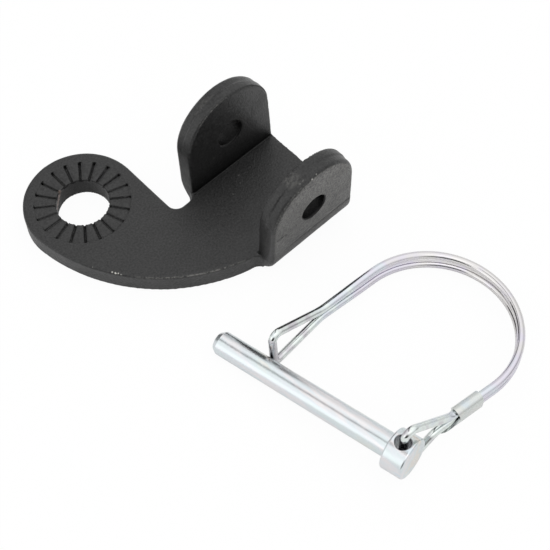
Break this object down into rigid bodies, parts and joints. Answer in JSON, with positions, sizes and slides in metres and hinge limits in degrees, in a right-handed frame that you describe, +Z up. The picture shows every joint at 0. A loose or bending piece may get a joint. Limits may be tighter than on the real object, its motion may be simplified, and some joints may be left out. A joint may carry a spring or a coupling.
{
  "type": "bicycle trailer hitch",
  "caption": "Steel axle bracket with a toothed ring, a curved arm and two upright ears for a trailer tongue, with its wire-lock pin taken out and lying beside it.",
  "frame": {"origin": "centre of the axle hole on the bracket's underside", "axes": "+Z up along the axle hole, out of the toothed face; +X along the ears, from the ring's side to the channel's open end; +Y from the ear nearer the pin to the other ear"},
  "size_m": [0.0742, 0.1203, 0.0325],
  "materials": {
    "black_powder_coat": "matt black powder coat on thick steel",
    "bright_zinc": "bright zinc plate on turned steel",
    "spring_wire": "bright zinc plate on drawn spring wire",
    "ferrule_zinc": "bright zinc plate on rolled sheet"
  },
  "bodies": {
    "hitch": {"bracket": "black_powder_coat", "lock_pin": "bright_zinc"},
    "bail": {"wire_bail": "spring_wire", "ferrule": "ferrule_zinc"}
  },
  "joints": [
    {"name": "bail_swing", "type": "hinge", "parent": "hitch", "child": "bail", "pos_m": [0.00873, -0.10152, 0.00817], "axis": [0.0749, 0.0667, 0.995], "range_deg": [-160, 0]}
  ]
}
